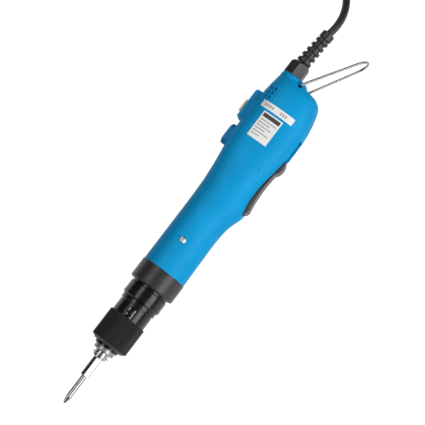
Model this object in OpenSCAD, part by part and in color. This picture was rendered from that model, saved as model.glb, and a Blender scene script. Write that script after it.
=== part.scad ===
// Electric torque screwdriver with a start lever, laid on its side.
// The tool axis is X, with the bit towards +X. The start lever is on the +Y side and the switches
// are on the -Y side. The two housing shells meet in the plane z = 0. The origin lies on the tool
// axis, halfway along the clamping collar. Sizes are in millimetres.

/* [Clamping collar] */
// Radius of the clamping collar, the face that a stand holds
collar_r = 19.1; // [18.8:0.1:21]
// Length of the clamping collar
collar_len = 16.8; // [14:0.2:20]

/* [Housing] */
// Radius of the grip where it meets the collar
grip_r = 18.6; // [18.2:0.1:18.8]
// Length of the housing behind the collar
housing_len = 181.1; // [176:0.5:190]
// Half the thickness of the rear of the housing, across the shells
housing_half = 19.1; // [18.6:0.1:20.5]
// Wall of the housing shells
wall = 2.4; // [2:0.1:2.8]
// Width of the slot that the lever works in
slot_w = 13; // [12:0.5:14]
// Depth of the switch block behind the grip's back
switch_block_h = 4.4; // [3.5:0.1:6]
// Diameter of a ventilation hole
vent_d = 2; // [1.4:0.1:2.6]

/* [Gearbox] */
// Gear module
gear_m = 0.5; // [0.5:0.01:0.51]
// Teeth on the sun gears
sun_teeth = 12; // [12:6:12]
// Teeth on the planet gears
planet_teeth = 18; // [18:6:18]
// Face width of the gears
gear_w = 6; // [5:0.2:7]
// Radius of a planet pin
planet_pin_r = 1.2; // [1:0.05:1.5]
// Radius of the gear case behind the scale sleeve
case_r = 16.5; // [16:0.1:17.5]
// Length of the visible part of the gear case
case_len = 11.6; // [10:0.2:14]

/* [Clutch] */
// Radius of the scale barrel
scale_r = 14.3; // [14.1:0.05:14.5]
// Length of the scale barrel
scale_len = 10.8; // [9.5:0.2:13]
// Radius over the knurl of the torque ring
torque_ring_r = 15.7; // [15.5:0.05:17]
// Length of the torque ring
torque_ring_len = 25.7; // [24:0.2:28]
// Ridges round the torque ring
knurl_count = 72; // [48:6:90]
// Radius of the clutch spring's wire
clutch_wire_r = 1.1; // [0.8:0.05:1.2]
// Turns of the clutch spring
clutch_turns = 6; // [5:1:7]
// Radius of the nose
nose_r = 8.7; // [8.5:0.1:9.2]

/* [Bit holder] */
// Width across the flats of the bit
bit_af = 6.35; // [6.2:0.05:6.4]
// Length of the bit
bit_len = 54.2; // [48:0.5:60]
// Radius of the bit's round shank
bit_shank_r = 2.35; // [2:0.05:2.6]
// Radius of the bit sleeve's flange
sleeve_flange_r = 7.7; // [7.2:0.1:8.4]

/* [Motor] */
// Radius of the motor can
motor_r = 14.9; // [14.5:0.05:14.95]
// Length of the motor can
motor_len = 58; // [52:1:60]
// Radius of the rotor shaft
shaft_r = 2; // [1.6:0.1:2.1]

/* [Controls] */
// Width of the start lever
lever_w = 10.4; // [9:0.2:10.8]
// Radius of the lever's pivot pin
lever_pin_r = 1.25; // [1:0.05:1.5]
// Width of the push button
button_w = 11; // [9:0.5:12]
// Height of the push button above the housing
button_h = 4.2; // [3:0.2:5]
// Height of the slider above the switch block
slider_h = 2.8; // [2:0.1:3.5]

/* [Hanger and cable] */
// Radius of the hanger's wire
hanger_wire_r = 1; // [0.8:0.05:1.2]
// Reach of the hanger from its pivot
hanger_len = 56; // [50:1:64]
// Angle of the hanger from the tool axis, towards the lever side
hanger_angle = 31.5; // [20:0.5:40]
// Diameter of the cable
cable_d = 6.2; // [6:0.1:6.4]
// Width across the flats of the cable gland's nut
gland_af = 15; // [14:0.5:16]

/* [Hidden] */

// Smoothness of round faces
fine = 64;
// Radial clearance of a turning or sliding fit
fit = 0.05;
// Clearance between pieces that only pass by each other
gap = 0.3;
// Overreach of a cutting tool past the face that it opens
cut = 1;

blue = [0.04, 0.56, 0.82];
black = [0.10, 0.10, 0.11];
dark_grey = [0.22, 0.22, 0.23];
steel = [0.75, 0.75, 0.77];
brass = [0.80, 0.65, 0.30];
white = [0.93, 0.93, 0.92];
yellow = [0.98, 0.78, 0.05];
copper = [0.72, 0.42, 0.25];
green = [0.08, 0.35, 0.20];

// ---- Stations along the tool axis, from the collar forward ----
collar_front = collar_len / 2;
collar_back = -collar_len / 2;
neck_len = 1.6;
case_back = collar_front + neck_len;
case_front = case_back + case_len;
groove_w = 0.7;
band_len = 3.5;
band_r = 15;
band_front = case_front + groove_w / 2 + band_len;
scale_back = band_front + groove_w;
scale_front = scale_back + scale_len;
ring_front = scale_front + torque_ring_len;
torque_travel = 8;
torque_pitch = 1;
ring_wall = 2.1;
seat_flange_w = 2.4;
seat_back = ring_front - ring_wall - fit - seat_flange_w;
thread_r = 12;
thread_front = seat_back - torque_travel - cut;
lock_ring_w = 2;
lock_ring_r = 10.2;
nose_front = ring_front + lock_ring_w + 3.8;

// ---- Bit holder ----
spindle_r = 5;
spindle_tip_r = 4.5;
sleeve_travel = 2.3;
sleeve_flange_w = 0.7;
sleeve_flange_back = nose_front + sleeve_travel + fit;
sleeve_back = nose_front - 1.6;
sleeve_front = sleeve_flange_back + sleeve_flange_w + 1.4;
sleeve_r = 5.8;
retaining_w = 0.6;
spindle_tip = sleeve_front + retaining_w + 0.8;
shoulder_x = sleeve_back - 2.8;
ball_r = 1.2;
detent_x = nose_front + ball_r;
detent_pos = 3.62;
bit_socket_depth = 12;
bit_back = spindle_tip - bit_socket_depth;
bit_front = bit_back + bit_len;
hex_r = bit_af / sqrt(3);
socket_gap = 0.05;

// ---- Gear train ----
pressure_angle = 25;
backlash = 0.06;
ring_teeth = sun_teeth + 2 * planet_teeth;
planet_count = 3;
orbit_r = gear_m * (sun_teeth + planet_teeth) / 2;
gear_gap = 0.8;
carrier_w = 2.5;
ring_rim = 1.4;
dedendum = 1.25;
ring_gear_r = gear_m * ring_teeth / 2 + dedendum * gear_m + ring_rim;
neck_r = ring_gear_r + 1.4;
carrier_r = gear_m * ring_teeth / 2 - gear_m - 0.4;
output_shaft_r = 4;
bearing_w = 6;
bearing_r = 8.5;
output_gear_front = case_back - 2.2 - carrier_w - gear_gap;
output_gear_back = output_gear_front - gear_w;
input_carrier_front = output_gear_back - gear_gap;
input_gear_front = input_carrier_front - carrier_w - gear_gap;
input_gear_back = input_gear_front - gear_w;
ring_gear_front = output_gear_front + gear_gap + carrier_w + gap;
ring_gear_back = input_gear_back - cut;
output_carrier_back = output_gear_front + gear_gap;
output_carrier_front = output_carrier_back + carrier_w;
bearing_back = ring_gear_front + 1.5;
bearing_front = bearing_back + bearing_w;
cam_r = 9;
cam_w = 3.5;
cam_back = bearing_front + 1.2;
cam_front = cam_back + cam_w;
clutch_ball_r = 2;
clutch_orbit = 6.4;
clutch_ball_x = cam_front + clutch_ball_r / 2;
flange_back = cam_front + gap * 2;
flange_front = clutch_ball_x + clutch_ball_r - 0.4;
thrust_back = clutch_ball_x + clutch_ball_r + 0.02;
thrust_w = 2;
clutch_bore_r = 10.6;
spigot_r = 12.6;
spigot_len = 5;
pilot_r = 2.5;
pilot_len = 4;

// ---- Motor ----
bulkhead_back = collar_back - 33;
motor_front = bulkhead_back - 0.4;
motor_back = motor_front - motor_len;
motor_wall = 1.2;
end_cap_w = 4;
rotor_r = motor_r - 4;
rotor_front = motor_front - 12;
rotor_back = motor_back + 14;
slot_count = 7;
magnet_in_r = motor_r - 3.2;
commutator_r = 4.4;
bush_r = 4.2;
bush_w = 4;
boss_r = 5.5;

// ---- Housing ----
housing_back = collar_back - housing_len;
// The housing is drawn at this length, and its stations stretch with the chosen one.
drawn_len = 181.1;
function behind(d) = collar_back - d * housing_len / drawn_len;
lip_r = 17;
lip_len = 10.4;
bore_r = motor_r + fit;
slot_floor = bore_r + 1.6;
cavity_front = motor_back - end_cap_w - 1.5;
cavity_back = housing_back + 11;
screw_x = behind(27.1);
screw_head_r = 2.75;
screw_shank_r = 1.5;
screw_head_h = 1.8;
post_x = behind(132.6);
post_y = 3;
post_r = 4;
pivot_x = housing_back + 4.3;
pivot_y = -0.7;
pivot_hole_r = hanger_wire_r + fit;
pivot_recess_r = 1.9;
gland_y = -13.2;
gland_thread_r = 5;
locknut_r = 7.2;
locknut_w = 3;
gland_tilt = 4.7;

// Each station of the housing: how far behind the collar, the back's reach, the belly's reach,
// half the thickness and the exponent of the section. An exponent of 2 gives an ellipse.
drawn_stations = [
    [0, grip_r, grip_r, grip_r, 2],
    [12, grip_r, grip_r - 0.2, grip_r - 0.1, 2],
    [23, grip_r, grip_r - 0.4, grip_r - 0.2, 2],
    [34, grip_r, grip_r - 0.6, grip_r - 0.3, 2],
    [44, grip_r, grip_r - 0.6, grip_r - 0.4, 2],
    [53, grip_r, grip_r + 0.1, grip_r - 0.3, 2.05],
    [58, grip_r, grip_r + 1.0, grip_r - 0.2, 2.1],
    [62, grip_r, grip_r + 2.2, grip_r - 0.1, 2.15],
    [66, grip_r + 0.1, grip_r + 3.7, grip_r, 2.2],
    [69, grip_r + 0.2, grip_r + 4.5, grip_r, 2.2],
    [72, grip_r + 0.3, grip_r + 4.8, grip_r, 2.2],
    [75, grip_r + 0.4, grip_r + 4.4, grip_r + 0.1, 2.2],
    [79, grip_r + 0.7, grip_r + 3.4, grip_r + 0.1, 2.25],
    [85, grip_r + 1.2, grip_r + 2.9, grip_r + 0.2, 2.3],
    [92, grip_r + 1.9, grip_r + 2.8, grip_r + 0.3, 2.35],
    [99, grip_r + 2.8, grip_r + 3.2, grip_r + 0.4, 2.4],
    [107, grip_r + 4.1, grip_r + 4.2, housing_half, 2.45],
    [114, grip_r + 4.9, grip_r + 5.3, housing_half, 2.5],
    [121, grip_r + 5.4, grip_r + 6.2, housing_half, 2.5],
    [128, grip_r + 5.6, grip_r + 6.6, housing_half, 2.5],
    [136, grip_r + 5.6, grip_r + 6.6, housing_half, 2.5],
    [144, grip_r + 5.5, grip_r + 6.4, housing_half, 2.5],
    [152, grip_r + 5.2, grip_r + 5.7, housing_half, 2.5],
    [160, grip_r + 4.7, grip_r + 4.2, housing_half, 2.5],
    [167, grip_r + 4.0, grip_r + 2.5, housing_half - 0.9, 2.5],
    [171, grip_r + 3.5, grip_r + 1.2, housing_half - 2.0, 2.45],
    [174, grip_r + 3.2, grip_r - 0.9, housing_half - 3.4, 2.4],
    [176, grip_r + 3.0, grip_r - 4.2, housing_half - 4.6, 2.4],
    [177.2, grip_r + 2.9, grip_r - 9.4, housing_half - 5.3, 2.4],
    [177.9, grip_r + 2.8, grip_r - 14.6, housing_half - 5.6, 2.4],
    [drawn_len - 0.8, grip_r + 2.6, grip_r - 16.6, housing_half - 6.2, 2.4],
    [drawn_len, grip_r + 1.9, grip_r - 17.4, housing_half - 7.0, 2.4]
];
stations = [for (s = drawn_stations) [collar_back - behind(s[0]), s[1], s[2], s[3], s[4]]];
half_steps = 18;

// The rear cavity leaves the lever slot's floor and an even wall.
cavity_steps = 10;
// How far behind the collar a share of the cavity's length lies
function cavity_at(share) = collar_back - cavity_front + share * (cavity_front - cavity_back);
cavity_stations = [
    [-cavity_front + collar_back, grip_r - 1.6, slot_floor - wall, grip_r - wall, 2.3],
    [cavity_at(0.138), grip_r + 3.9 - wall, slot_floor - wall, housing_half - wall, 2.4],
    [cavity_at(0.329), grip_r + 5.3 - wall, slot_floor - wall, housing_half - wall, 2.5],
    [cavity_at(0.643), grip_r + 5.4 - wall, slot_floor - wall, housing_half - wall, 2.5],
    [cavity_at(0.862), grip_r + 4.5 - wall, slot_floor - wall, housing_half - wall, 2.5],
    [-cavity_back + collar_back, grip_r + 3.3 - wall, slot_floor - wall - 2, housing_half - wall - 1.6, 2.4]
];

// ---- Controls ----
switch_drop = 0.9;
slot_front = behind(70.6);
slot_back = behind(142.6);
lever_front = slot_front - gap - 0.4;
lever_back = behind(125.1);
pivot_lever_x = behind(118.6);
pivot_lever_y = slot_floor + 3.6;
lever_press = 3.6;
lever_skin = 1.6;
lever_low = 23;
lever_dip_x = behind(97.6);
lever_curve = 243;
knuckle_half = 7.2;
knuckle_h = 4.3;
knuckle_y = slot_floor + 5.65;
button_front = behind(107);
button_back = behind(125);
button_y = -grip_r - 5.2;
button_press = 1.5;
block_front = behind(127);
block_back = behind(157);
block_w = 14;
block_y = -grip_r - 5.2;
block_top = block_y - switch_block_h;
block_slope = 3.8;
slider_x = behind(141);
slider_len = 10;
slider_w = 4;
slider_travel = 2.5;

board_back = behind(162.6);
board_front = behind(116.6);
board_half = 11;
board_w = 1.6;
board_z = -7;

// ---- Cable ----
gland_nut_len = 10.8;
gland_chamfer = 2.2;
relief_len = 26;
relief_r = 6.4;
relief_end_r = 5.4;
relief_ribs = 5;
relief_collar_len = 6.2;
table_z = -collar_r;
cord_z = table_z + cable_d / 2;
coil_centre = [-338, -18];
coil_mid_r = 34;
coil_rows = 3;
coil_half = coil_rows * cable_d / 2;

// ================= Helpers =================
module along_x() {
    rotate([0, 90, 0]) children();
}

// Revolves an outline about the tool axis. Its points are [radius, station].
module turned(outline) {
    along_x() rotate_extrude($fn = fine) polygon(outline);
}

module tube_x(r_out, r_in, x_back, x_front) {
    translate([x_back, 0, 0]) along_x() difference() {
        cylinder(h = x_front - x_back, r = r_out, $fn = fine);
        translate([0, 0, -cut]) cylinder(h = x_front - x_back + 2 * cut, r = r_in, $fn = fine);
    }
}

module rod_x(r, x_back, x_front, sides = fine) {
    translate([x_back, 0, 0]) along_x() cylinder(h = x_front - x_back, r = r, $fn = sides);
}

// A box given by its lowest and highest corners
module block(low, high) {
    translate(low) cube(high - low);
}

// Joins rings of points, each with as many points, into one closed solid
module loft(rings) {
    ring_size = len(rings[0]);
    last = len(rings) - 1;
    points = [for (ring = rings) each ring];
    sides = [
        for (i = [0 : last - 1], j = [0 : ring_size - 1])
            let (k = (j + 1) % ring_size, a = i * ring_size, b = a + ring_size)
                each [[a + j, b + k, b + j], [a + j, a + k, b + k]]
    ];
    near_end = [for (j = [ring_size - 1 : -1 : 0]) j];
    far_end = [for (j = [0 : ring_size - 1]) last * ring_size + j];
    polyhedron(points, concat([near_end], sides, [far_end]));
}

function signed_power(v, p) = sign(v) * pow(abs(v), p);

// Upper half of a rounded section that spans from -back to belly at one station
function half_section(station, steps) =
    let (mid = (station[2] - station[1]) / 2, reach = (station[2] + station[1]) / 2, p = 2 / station[4])
        [for (i = [0 : steps]) let (a = 180 * i / steps)
            [collar_back - station[0],
             mid + reach * signed_power(cos(a), p),
             station[3] * signed_power(i == steps ? 0 : sin(a), p)]];

module half_form(list, steps) {
    loft([for (station = list) half_section(station, steps)]);
}

// A round bar swept along points: each ring is square to the line between its neighbours
function unit(v) = v / norm(v);
function heading(path, i) = unit(path[min(i + 1, len(path) - 1)] - path[max(i - 1, 0)]);
function ring_at(centre, along, r, sides) =
    let (side = unit(cross(along, abs(along[2]) > 0.9 ? [1, 0, 0] : [0, 0, 1])), up = cross(side, along))
        [for (j = [0 : sides - 1]) let (a = 360 * j / sides) centre + r * (cos(a) * side + sin(a) * up)];

module swept(path, r, sides = 8) {
    loft([for (i = [0 : len(path) - 1]) ring_at(path[i], heading(path, i), r, sides)]);
}

// A coil spring about the tool axis, between two stations
module spring_x(mean_r, wire_r, x_back, x_front, turns, rings_per_turn = 10, sides = 5) {
    steps = turns * rings_per_turn;
    run = x_front - x_back - 2 * wire_r;
    swept([for (i = [0 : steps]) let (a = 360 * i / rings_per_turn)
        [x_back + wire_r + run * i / steps, mean_r * cos(a), mean_r * sin(a)]], wire_r, sides);
}

// ================= Gears =================
function involute(a) = tan(a) * 180 / PI - a;
// Half the angle that a tooth takes at radius r
function tooth_half(teeth, r, play) =
    let (pitch_r = gear_m * teeth / 2, base_r = pitch_r * cos(pressure_angle))
        90 / teeth - play / pitch_r * 90 / PI + involute(pressure_angle)
            - (r > base_r ? involute(acos(base_r / r)) : 0);

flank_steps = 3;
function tooth_outline(teeth, low_r, high_r, play, turn) =
    [for (i = [-flank_steps : flank_steps]) if (i != 0)
        let (r = high_r - (high_r - low_r) * (abs(i) - 1) / (flank_steps - 1),
             a = turn + sign(i) * tooth_half(teeth, r, play))
            [r * cos(a), r * sin(a)]];

// Outside gear: teeth stand out from the root circle
module gear_shape(teeth, turn = 0) {
    pitch_r = gear_m * teeth / 2;
    polygon([for (t = [0 : teeth - 1])
        each tooth_outline(teeth, pitch_r - dedendum * gear_m, pitch_r + gear_m, backlash,
            turn + 360 * t / teeth)]);
}

// The space inside a ring gear: its lobes are the spaces between the teeth
module ring_space(teeth) {
    pitch_r = gear_m * teeth / 2;
    polygon([for (t = [0 : teeth - 1])
        each tooth_outline(teeth, pitch_r - gear_m, pitch_r + dedendum * gear_m, -backlash,
            360 * (t + 0.5) / teeth)]);
}

module planet(index, x_back) {
    planet_angle = 360 * index / planet_count;
    translate([x_back, 0, 0]) along_x() rotate([0, 0, planet_angle]) translate([orbit_r, 0, 0])
        difference() {
            linear_extrude(gear_w) gear_shape(planet_teeth, 180 / planet_teeth);
            translate([0, 0, -cut]) cylinder(h = gear_w + 2 * cut, r = planet_pin_r + fit, $fn = 32);
        }
}

module planet_pins(x_back, x_front) {
    for (i = [0 : planet_count - 1])
        translate([x_back, 0, 0]) along_x() rotate([0, 0, 360 * i / planet_count])
            translate([orbit_r, 0, 0]) cylinder(h = x_front - x_back, r = planet_pin_r, $fn = 32);
}

// ================= Bit and its holder =================
module screwdriver_bit() {
    hex_front = bit_front - 25;
    hex_chamfer = 0.8;
    groove_half = 1.5;
    groove_r = 2.38;
    point_len = 5;
    point_r = 0.9;
    wing_slot = 0.75;
    color(steel) difference() {
        intersection() {
            union() {
                rod_x(hex_r, bit_back, hex_front, 6);
                rod_x(bit_shank_r, hex_front, bit_front);
            }
            turned([[0, bit_back], [bit_af / 2, bit_back], [hex_r, bit_back + hex_chamfer],
                [hex_r, detent_x - groove_half - 1], [groove_r, detent_x - groove_half],
                [groove_r, detent_x + groove_half], [hex_r, detent_x + groove_half + 1],
                [hex_r, hex_front - hex_chamfer], [bit_shank_r, hex_front],
                [bit_shank_r, bit_front - point_len], [point_r, bit_front], [0, bit_front]]);
        }
        // four flutes leave the cross of the driver tip
        for (i = [0 : 3]) rotate([45 + 90 * i, 0, 0])
            translate([bit_front - point_len * 1.2, 0, wing_slot]) rotate([0, 4, 0]) rotate([45, 0, 0])
                cube([point_len * 2, bit_shank_r * 2, bit_shank_r * 2]);
    }
}

module output_spindle() {
    socket_r = hex_r + socket_gap;
    tip_chamfer = 0.6;
    color(steel) difference() {
        turned([[0, flange_back], [cam_r, flange_back], [cam_r, flange_front], [spindle_r, flange_front],
            [spindle_r, shoulder_x], [spindle_tip_r, shoulder_x],
            [spindle_tip_r, spindle_tip - tip_chamfer], [spindle_tip_r - tip_chamfer, spindle_tip],
            [0, spindle_tip]]);
        rod_x(pilot_r + fit, flange_back - cut, flange_back + pilot_len);
        translate([bit_back - socket_gap, 0, 0]) along_x()
            cylinder(h = bit_socket_depth + cut, r = socket_r, $fn = 6);
        translate([detent_x, 0, 0]) rotate([-90, 0, 0])
            cylinder(h = spindle_r + cut, r = ball_r + fit, $fn = 32);
        clutch_ball_places() along_x()
            translate([0, 0, -clutch_ball_r - cut]) cylinder(h = 2 * clutch_ball_r + 2 * cut,
                r = clutch_ball_r + fit, $fn = 32);
        tube_x(spindle_r, spindle_tip_r - 0.4, sleeve_front, sleeve_front + retaining_w);
    }
}

module clutch_ball_places() {
    for (i = [0 : planet_count - 1]) rotate([360 * i / planet_count + 60, 0, 0])
        translate([clutch_ball_x, 0, clutch_orbit]) children();
}

module detent_ball() {
    color(steel) translate([detent_x, detent_pos, 0]) sphere(r = ball_r, $fn = 32);
}

module bit_sleeve() {
    lock_r = detent_pos + ball_r + fit;
    free_r = 5.25;
    guide_front = detent_x - ball_r - 0.2;
    lock_front = detent_x + ball_r + 0.1;
    edge = 0.5;
    color(steel) turned([[spindle_tip_r + fit, sleeve_back], [sleeve_r - edge, sleeve_back],
        [sleeve_r, sleeve_back + edge], [sleeve_r, sleeve_flange_back],
        [sleeve_flange_r - 0.2, sleeve_flange_back], [sleeve_flange_r, sleeve_flange_back + 0.2],
        [sleeve_flange_r, sleeve_flange_back + sleeve_flange_w - 0.2],
        [sleeve_flange_r - 0.2, sleeve_flange_back + sleeve_flange_w],
        [sleeve_r, sleeve_flange_back + sleeve_flange_w], [sleeve_r, sleeve_front - edge],
        [sleeve_r - edge / 2, sleeve_front], [free_r, sleeve_front], [free_r, lock_front],
        [lock_r, lock_front], [lock_r, guide_front], [spindle_tip_r + fit, guide_front]]);
}

module sleeve_spring() {
    wire_r = 0.3;
    color(steel) spring_x(spindle_tip_r + 2 * wire_r, wire_r, shoulder_x + gap / 2, sleeve_back - gap / 2, 3, 10);
}

module retaining_ring() {
    ring_in = spindle_tip_r - 0.35;
    ring_out = sleeve_r - 0.1;
    mouth = 20;
    color(dark_grey) translate([sleeve_front + fit, 0, 0]) along_x() difference() {
        cylinder(h = retaining_w - 2 * fit, r = ring_out, $fn = fine);
        translate([0, 0, -cut]) cylinder(h = retaining_w + 2 * cut, r = ring_in, $fn = fine);
        translate([0, 0, -cut]) rotate([0, 0, -mouth]) cube([ring_out * 2, ring_out * tan(2 * mouth), retaining_w + 2 * cut]);
    }
}

// ================= Clutch and torque setting =================
module nose_bush() {
    color(brass) tube_x(6.5, spindle_r + fit, seat_back, nose_front - 5.2);
}

module spring_seat() {
    bush_r_out = 6.5;
    edge = 0.8;
    color(black) turned([[bush_r_out, seat_back], [thread_r - 0.7, seat_back],
        [thread_r - 0.7, seat_back + seat_flange_w], [nose_r, seat_back + seat_flange_w],
        [nose_r, nose_front - edge], [nose_r - edge, nose_front], [bush_r_out, nose_front]]);
}

module lock_ring() {
    color(dark_grey) turned([[nose_r, ring_front + fit], [lock_ring_r, ring_front + fit],
        [lock_ring_r, ring_front + lock_ring_w - 0.3], [lock_ring_r - 0.3, ring_front + lock_ring_w],
        [nose_r, ring_front + lock_ring_w]]);
}

// Straight knurl: a ridge and a valley for each of the knurl's ridges
function knurl_outline(r, depth) =
    [for (i = [0 : knurl_count - 1], j = [0, 1])
        let (a = 360 * (i + j / 2) / knurl_count, ridge_r = r - j * depth) [ridge_r * cos(a), ridge_r * sin(a)]];

module torque_ring() {
    knurl_depth = 0.3;
    rim = 1.2;
    nose_chamfer = 2.4;
    chamfer_drop = 3;
    recess_front = scale_front + torque_travel + 1.2;
    plain_r = torque_ring_r - knurl_depth;
    color(black) difference() {
        union() {
            turned([[0, scale_front], [plain_r - 0.4, scale_front], [plain_r, scale_front + 0.4],
                [plain_r, ring_front - nose_chamfer], [plain_r - chamfer_drop, ring_front], [0, ring_front]]);
            translate([scale_front + rim, 0, 0]) along_x()
                linear_extrude(torque_ring_len - rim - nose_chamfer - 0.4)
                    polygon(knurl_outline(torque_ring_r, knurl_depth * 1.3));
        }
        rod_x(scale_r + fit * 2, scale_front - cut, recess_front);
        rod_x(thread_r + fit, scale_front, ring_front - ring_wall);
        rod_x(nose_r + fit, scale_front, ring_front + cut);
    }
}

module clutch_spring() {
    mean_r = clutch_bore_r - clutch_wire_r - gap * 2;
    color(steel) spring_x(mean_r, clutch_wire_r, thrust_back + thrust_w + fit, seat_back - fit, clutch_turns, 12, 6);
}

module thrust_plate() {
    color(steel) tube_x(clutch_bore_r - gap, spindle_r + fit, thrust_back, thrust_back + thrust_w);
}

module clutch_balls() {
    color(steel) clutch_ball_places() sphere(r = clutch_ball_r, $fn = 32);
}

module drive_cam() {
    color(steel) difference() {
        tube_x(cam_r, output_shaft_r, cam_back, cam_front);
        clutch_ball_places() sphere(r = clutch_ball_r + fit, $fn = 32);
    }
}

module scale_sleeve() {
    flat_depth = 0.45;
    flat_turn = -7;
    flat_len = scale_len - 2.2;
    color(black) difference() {
        turned([[clutch_bore_r, case_front + spigot_len], [spigot_r + fit, case_front + spigot_len],
            [spigot_r + fit, case_front + fit], [band_r - 0.3, case_front + fit],
            [band_r, case_front + groove_w / 2], [band_r, band_front - 0.2], [band_r - 0.2, band_front],
            [scale_r - 0.5, band_front], [scale_r - 0.5, scale_back - 0.1], [scale_r, scale_back],
            [scale_r, scale_front - 0.3], [scale_r - 0.3, scale_front], [thread_r, scale_front],
            [thread_r, thread_front - 0.8], [thread_r - 0.8, thread_front], [clutch_bore_r, thread_front]]);
        // milled flat that carries the scale
        rotate([flat_turn, 0, 0])
            block([scale_front - flat_len, -scale_r, scale_r - flat_depth],
                [scale_front + cut, scale_r, scale_r + cut]);
    }
}

// ================= Gearbox =================
module gear_case() {
    shoulder = case_r - 0.9;
    motor_boss_r = boss_r + fit;
    gear_room = ring_gear_back - 2;
    color(black) difference() {
        turned([[0, bulkhead_back], [neck_r, bulkhead_back], [neck_r, case_back], [shoulder, case_back],
            [case_r - 0.3, case_back + 0.7], [case_r - 0.3, case_front - 4], [case_r, case_front - 2],
            [case_r - 0.3, case_front - 0.7], [case_r - 1, case_front], [spigot_r, case_front],
            [spigot_r, case_front + spigot_len - gap], [0, case_front + spigot_len - gap]]);
        rod_x(clutch_bore_r, cam_back - gap * 2, case_front + spigot_len);
        rod_x(bearing_r, bearing_back, cam_back);
        rod_x(carrier_r - 1, ring_gear_front - cut, bearing_back + cut);
        rod_x(ring_gear_r, ring_gear_back, ring_gear_front);
        rod_x(carrier_r, gear_room, ring_gear_back + cut);
        rod_x(shaft_r + 1.2, bulkhead_back - cut, gear_room + cut);
        rod_x(motor_boss_r, bulkhead_back - cut, motor_front + boss_depth + gap);
        for (side = [0, 180]) rotate([side, 0, 0]) translate([screw_x, 0, neck_r - screw_bite])
            cylinder(h = screw_bite + cut, r = screw_shank_r, $fn = 32);
        // the screws' heads stay clear of the skirt
        for (side = [0, 180]) rotate([side, 0, 0]) translate([screw_x, 0, grip_r - screw_head_h - 0.6])
            cylinder(h = screw_head_h * 2, r = screw_head_r + gap, $fn = 32);
    }
}
boss_depth = 3;
screw_bite = 6;

module output_bearing() {
    color(brass) tube_x(bearing_r, output_shaft_r + fit, bearing_back, bearing_front);
}

module ring_gear() {
    color(steel) translate([ring_gear_back, 0, 0]) along_x() difference() {
        cylinder(h = ring_gear_front - ring_gear_back, r = ring_gear_r, $fn = fine);
        translate([0, 0, -cut]) linear_extrude(ring_gear_front - ring_gear_back + 2 * cut) ring_space(ring_teeth);
    }
}

module output_carrier() {
    color(steel) {
        rod_x(carrier_r, output_carrier_back, output_carrier_front);
        rod_x(output_shaft_r, output_carrier_front, cam_front);
        rod_x(pilot_r, cam_front, flange_back + pilot_len - gap);
        planet_pins(output_gear_back - gap, output_carrier_back);
    }
}

module output_planet_1() { color(steel) planet(0, output_gear_back); }
module output_planet_2() { color(steel) planet(1, output_gear_back); }
module output_planet_3() { color(steel) planet(2, output_gear_back); }

module input_carrier() {
    sun_front = output_gear_front + gear_gap / 2;
    color(steel) {
        rod_x(carrier_r, input_carrier_front - carrier_w, input_carrier_front);
        translate([input_carrier_front, 0, 0]) along_x()
            linear_extrude(sun_front - input_carrier_front) gear_shape(sun_teeth);
        planet_pins(input_gear_back - gap, input_carrier_front - carrier_w);
    }
}

module input_planet_1() { color(brass) planet(0, input_gear_back); }
module input_planet_2() { color(brass) planet(1, input_gear_back); }
module input_planet_3() { color(brass) planet(2, input_gear_back); }

// ================= Motor =================
module rotor_shaft() {
    color(steel) {
        rod_x(shaft_r, motor_back - end_cap_w + 0.6, input_gear_back - 1);
        translate([input_gear_back - 1, 0, 0]) along_x()
            linear_extrude(gear_w + 1 + gear_gap / 2) gear_shape(sun_teeth);
    }
}

module rotor_core() {
    slot_w_core = 2.2;
    slot_depth = 6;
    coil_len = 5;
    color(copper) difference() {
        union() {
            rod_x(rotor_r, rotor_back, rotor_front);
            turned([[shaft_r, rotor_front], [rotor_r - 1.5, rotor_front], [rotor_r - 2.5, rotor_front + coil_len],
                [shaft_r, rotor_front + coil_len]]);
            turned([[shaft_r, rotor_back - coil_len], [rotor_r - 2.5, rotor_back - coil_len],
                [rotor_r - 1.5, rotor_back], [shaft_r, rotor_back]]);
        }
        rod_x(shaft_r, rotor_back - coil_len - cut, rotor_front + coil_len + cut);
        for (i = [0 : slot_count - 1]) rotate([360 * i / slot_count, 0, 0])
            block([rotor_back - cut, -slot_w_core / 4, rotor_r - slot_depth / 3],
                [rotor_front + cut, slot_w_core / 4, rotor_r + cut]);
    }
}

module commutator() {
    color(copper) tube_x(commutator_r, shaft_r, motor_back + 1.5, motor_back + 8);
}

module motor_can() {
    color(steel) difference() {
        union() {
            rod_x(motor_r, motor_back, motor_front);
            rod_x(boss_r, motor_front, motor_front + boss_depth);
        }
        rod_x(motor_r - motor_wall, motor_back - cut, motor_front - motor_wall);
        rod_x(bush_r, motor_front - motor_wall - cut, motor_front + boss_depth + cut);
    }
}

module motor_magnets() {
    magnet_half_angle = 62;
    color(dark_grey) intersection() {
        tube_x(motor_r - motor_wall, magnet_in_r, rotor_back - 2, rotor_front + 2);
        for (side = [0, 180]) rotate([side, 0, 0]) rotate([90 - magnet_half_angle, 0, 0])
            translate([rotor_back - 2, 0, 0]) along_x()
                linear_extrude(rotor_front - rotor_back + 4)
                    polygon([[0, 0], for (i = [0 : 4]) let (a = 90 + 2 * magnet_half_angle * i / 4)
                        2 * motor_r * [cos(a), sin(a)]]);
    }
}

module motor_bushes() {
    color(brass) {
        tube_x(bush_r, shaft_r + fit, motor_front - motor_wall, motor_front + boss_depth);
        tube_x(bush_r, shaft_r + fit, motor_back - end_cap_w + 0.4, motor_back);
    }
}

module motor_end_cap() {
    spigot = 1.2;
    color(black) difference() {
        union() {
            rod_x(motor_r, motor_back - end_cap_w, motor_back);
            tube_x(motor_r - motor_wall - fit, motor_r - motor_wall - 2.5, motor_back, motor_back + spigot);
        }
        rod_x(bush_r, motor_back - end_cap_w + 0.4, motor_back + cut);
    }
}

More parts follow.
